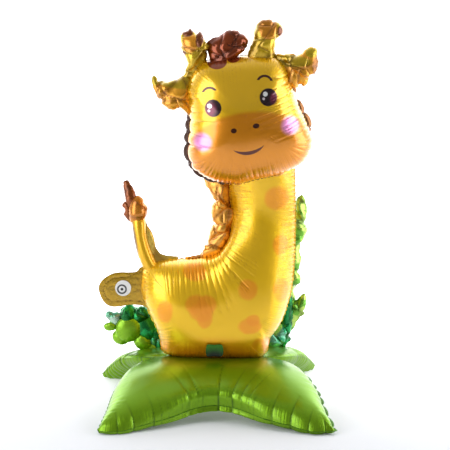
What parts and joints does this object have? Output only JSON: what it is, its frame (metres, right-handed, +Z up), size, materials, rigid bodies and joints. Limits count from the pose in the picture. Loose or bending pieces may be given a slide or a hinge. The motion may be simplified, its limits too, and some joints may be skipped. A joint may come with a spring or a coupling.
{
  "type": "giraffe foil balloon",
  "caption": "Free-standing foil balloon: a seated giraffe with ears, horns and tail on an arched four-footed cushion, with a leafy plant balloon behind it.",
  "frame": {"origin": "middle of the bounding box on the floor it stands on", "axes": "+Z up, front of the face towards -Y, giraffe's tail towards -X"},
  "size_m": [0.4266, 0.456, 0.6978],
  "materials": {
    "green_foil": "metallised film printed lime green, glossy",
    "yellow_foil": "metallised film printed golden yellow with pale orange spots, glossy",
    "face_foil": "metallised film printed yellow and orange with an animal face, glossy",
    "leaf_foil": "metallised film printed in leaf greens, crumpled and glossy",
    "dark_green_film": "flat dark green film",
    "white_paper": "white sticker"
  },
  "bodies": {
    "root": {"base": "green_foil", "body": "yellow_foil", "head": "face_foil", "foliage": "leaf_foil", "base_tab": "dark_green_film", "valve_sticker": "white_paper"}
  },
  "joints": []
}
